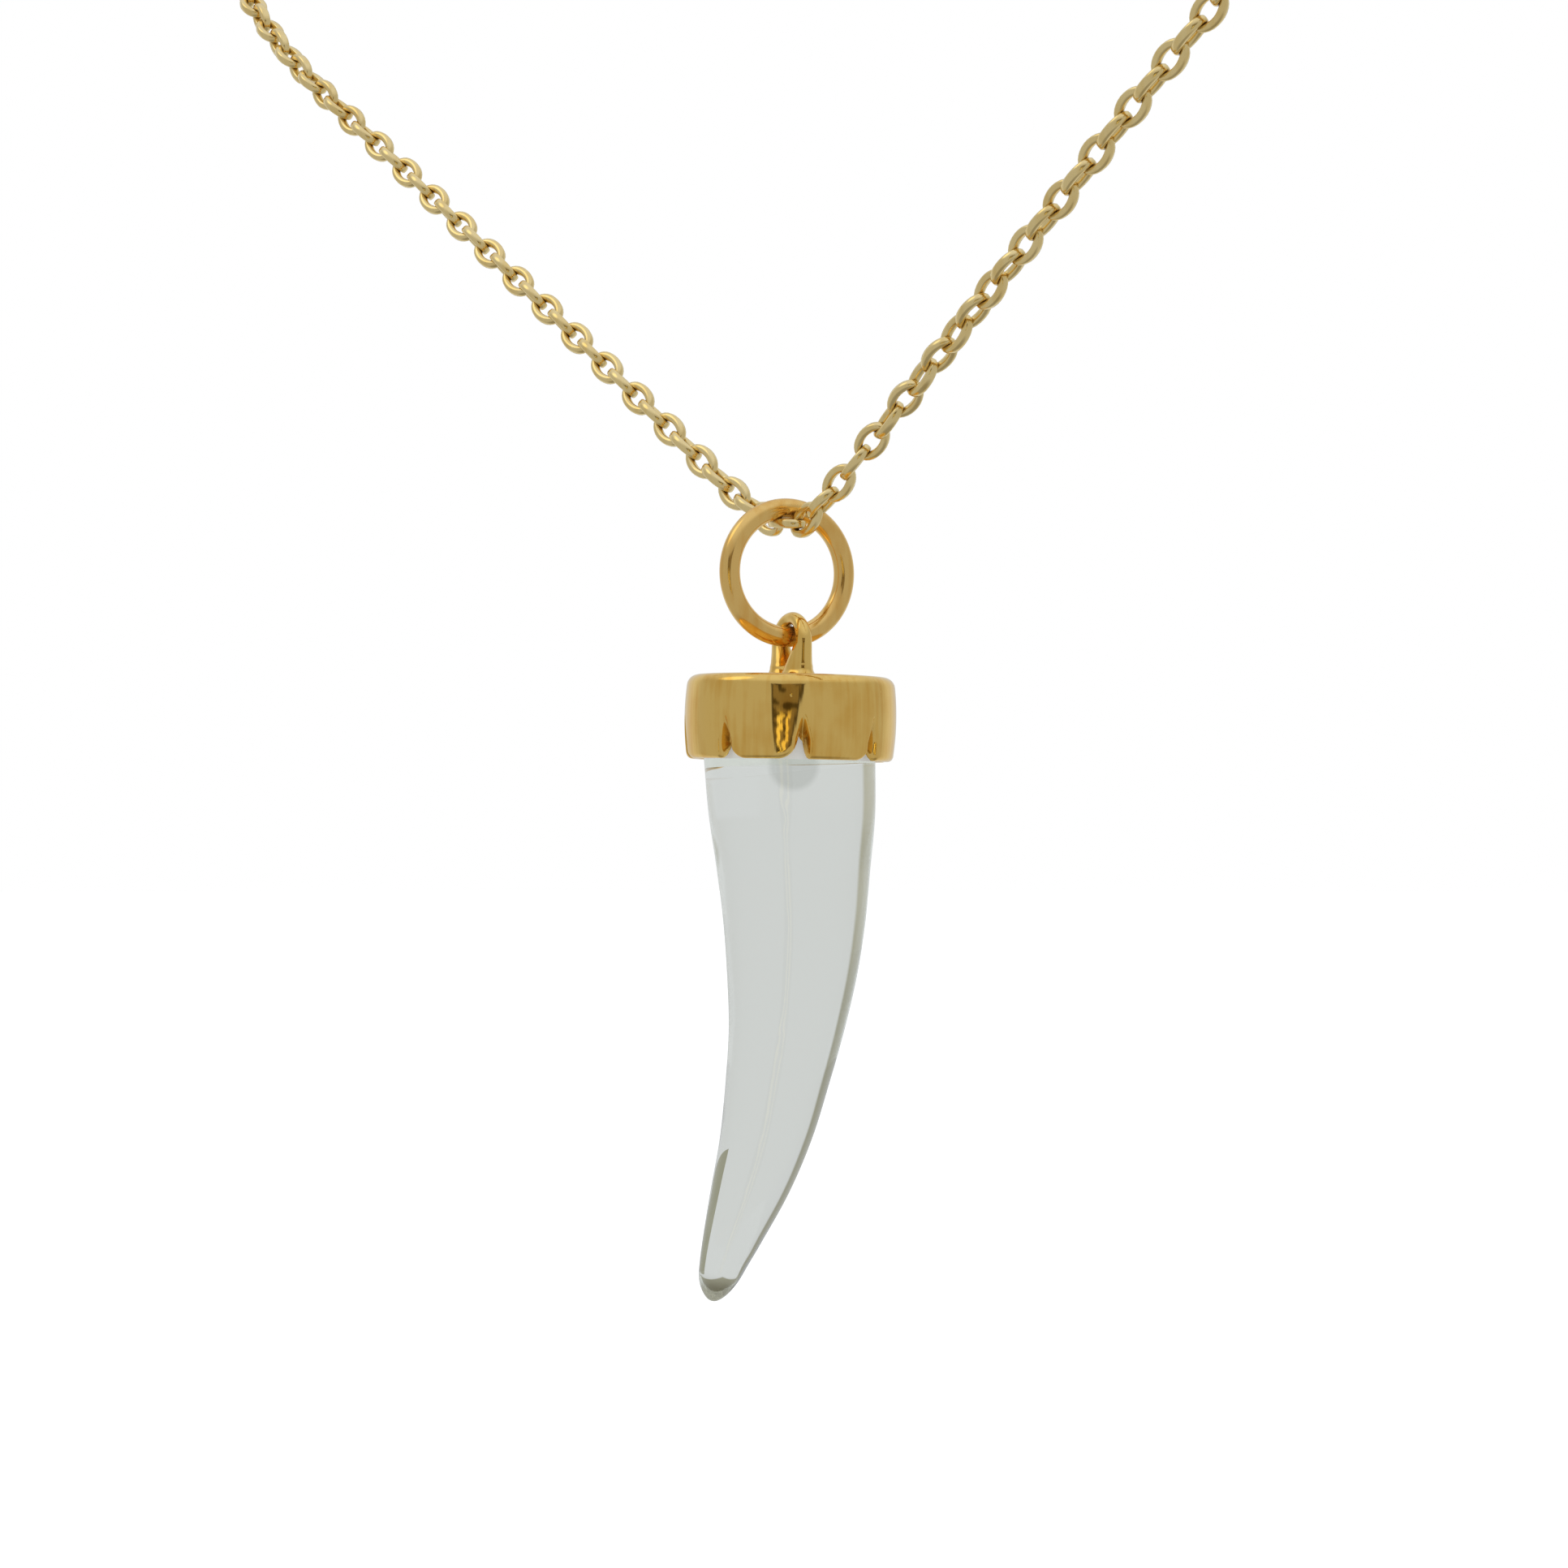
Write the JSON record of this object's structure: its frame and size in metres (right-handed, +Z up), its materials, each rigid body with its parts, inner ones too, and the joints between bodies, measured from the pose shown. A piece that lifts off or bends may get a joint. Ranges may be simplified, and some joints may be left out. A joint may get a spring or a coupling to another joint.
{
  "type": "cornicello horn pendant necklace",
  "caption": "Curved clear crystal horn in a petalled gold cap, hanging from a jump ring on a fine cable chain with a barrel clasp.",
  "frame": {"origin": "middle of the underside of the barrel clasp, where the necklace hangs at the nape", "axes": "+Z up, the wearer's front is -Y, +X runs along the clasp"},
  "size_m": [0.1321, 0.1058, 0.1467],
  "materials": {
    "crystal": "polished rock crystal, nearly colourless",
    "cap_gold": "polished gold plating over cast metal, with fine casting marks",
    "chain_gold": "bright pale gold plating on drawn wire"
  },
  "bodies": {
    "root": {"chain_front": "chain_gold", "chain_back": "chain_gold", "barrel_clasp": "chain_gold"},
    "ring": {"jump_ring": "cap_gold"},
    "drop": {"cap": "cap_gold", "horn": "crystal"}
  },
  "joints": [
    {"name": "ring_swing", "type": "hinge", "parent": "root", "child": "ring", "pos_m": [0, -0.1, -0.1097], "axis": [0.2756, 0.9613, 0], "range_deg": [-45, 45]},
    {"name": "drop_swing", "type": "hinge", "parent": "ring", "child": "drop", "pos_m": [0, -0.1, -0.1153], "axis": [0.2756, 0.9613, 0], "range_deg": [-45, 45]}
  ]
}
